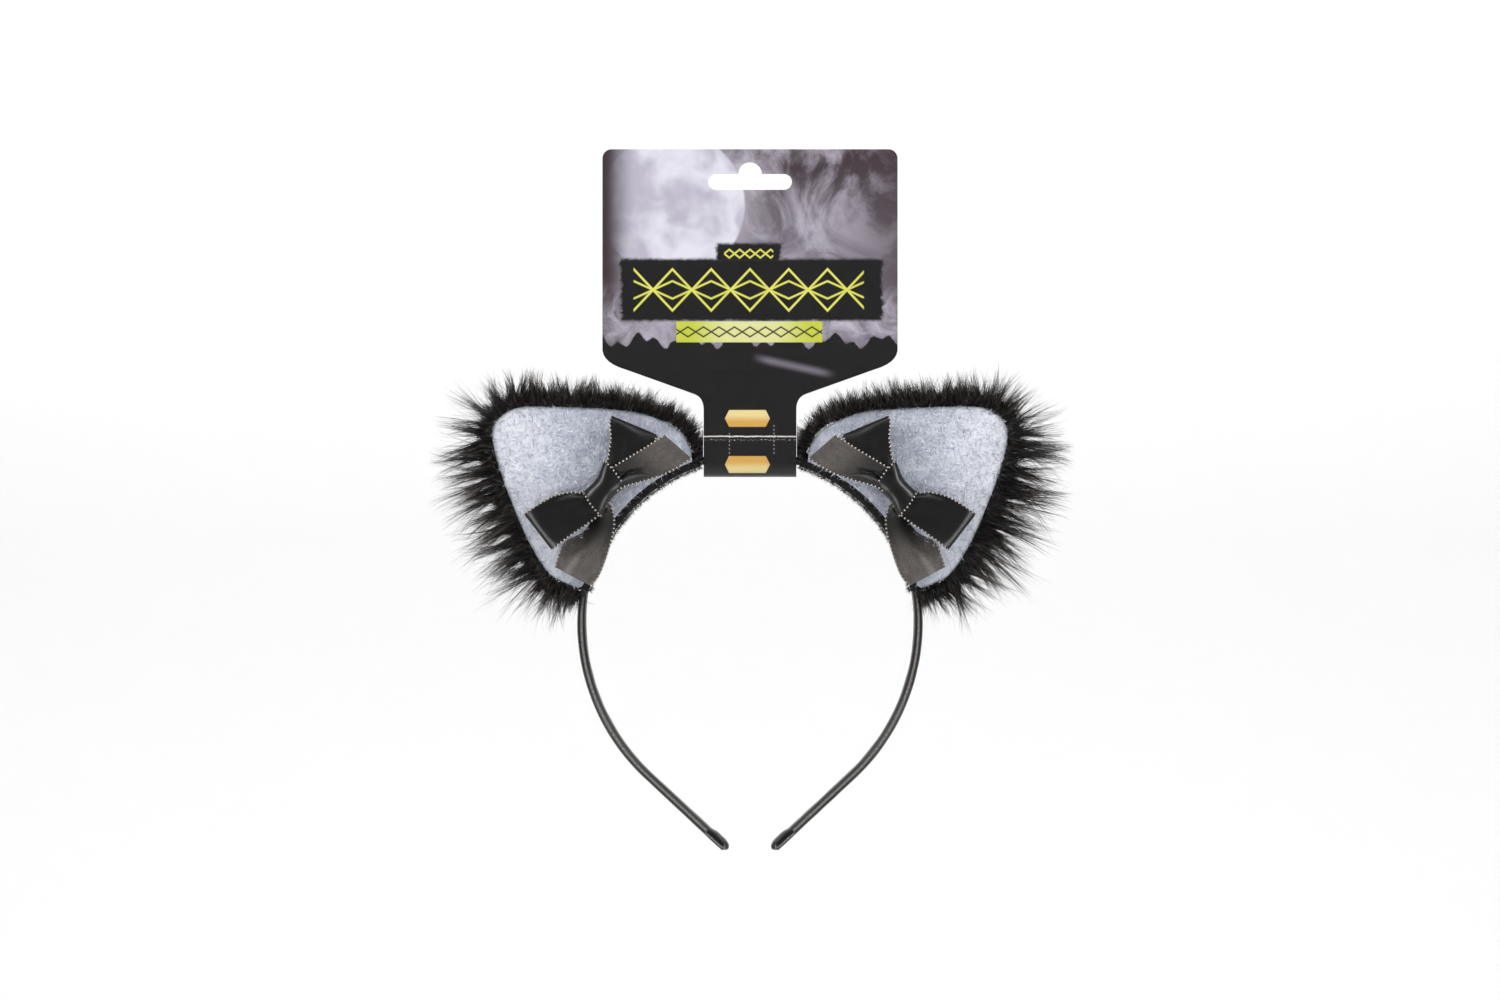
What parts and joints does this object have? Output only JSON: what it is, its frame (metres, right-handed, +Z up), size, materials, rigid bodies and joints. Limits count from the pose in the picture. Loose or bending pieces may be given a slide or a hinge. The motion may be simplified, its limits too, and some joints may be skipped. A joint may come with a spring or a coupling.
{
  "type": "animal ears headband",
  "caption": "Springy satin-wrapped hoop headband with two furry animal ears, each with a satin bow, hung from a folded card.",
  "frame": {"origin": "middle of the band's inner face at the crown, the point that rests on top of a head", "axes": "+Z up towards the hang slot, the front with the felt and the bows faces -Y, +X to the right seen from the front"},
  "size_m": [0.2278, 0.0232, 0.2717],
  "materials": {
    "band_plastic": "black springy strip, sealed inside the wrap",
    "band_satin": "black satin ribbon with a soft sheen",
    "faux_fur": "long black faux fur",
    "felt": "pale blue-grey short fleece",
    "wadding": "soft polyester wadding, sealed inside the ear",
    "bow_satin": "black satin ribbon with stitched edges",
    "card": null
  },
  "bodies": {
    "card": {"hang_card": "card"},
    "crown": {"band_core_crown": "band_plastic", "band_wrap_crown": "band_satin", "left_ear_hem": "faux_fur", "right_ear_hem": "faux_fur", "left_ear_fur_back": "faux_fur", "left_ear_fur_margin": "faux_fur", "left_ear_felt": "felt", "left_ear_wadding": "wadding", "left_bow_upper_loop": "bow_satin", "left_bow_lower_loop": "bow_satin", "left_bow_upper_tail": "bow_satin", "left_bow_lower_tail": "bow_satin", "left_bow_knot": "bow_satin", "right_ear_fur_back": "faux_fur", "right_ear_fur_margin": "faux_fur", "right_ear_felt": "felt", "right_ear_wadding": "wadding", "right_bow_upper_loop": "bow_satin", "right_bow_lower_loop": "bow_satin", "right_bow_upper_tail": "bow_satin", "right_bow_lower_tail": "bow_satin", "right_bow_knot": "bow_satin"},
    "left_leg": {"left_leg_core": "band_plastic", "left_leg_wrap": "band_satin", "left_tip_cap": "band_satin"},
    "right_leg": {"right_leg_core": "band_plastic", "right_leg_wrap": "band_satin", "right_tip_cap": "band_satin"}
  },
  "joints": [
    {"name": "card_swing", "type": "hinge", "parent": "card", "child": "crown", "pos_m": [0, 0, 0.0002], "axis": [1, 0, 0], "range_deg": [-90, 90]},
    {"name": "left_leg_flex", "type": "hinge", "parent": "crown", "child": "left_leg", "pos_m": [-0.06516, 0, -0.06141], "axis": [0, 1, 0], "range_deg": [-3, 25], "stiffness_Nm_per_rad": 0.35},
    {"name": "right_leg_flex", "type": "hinge", "parent": "crown", "child": "right_leg", "pos_m": [0.06516, 0, -0.06141], "axis": [0, -1, 0], "range_deg": [-3, 25], "stiffness_Nm_per_rad": 0.35}
  ]
}
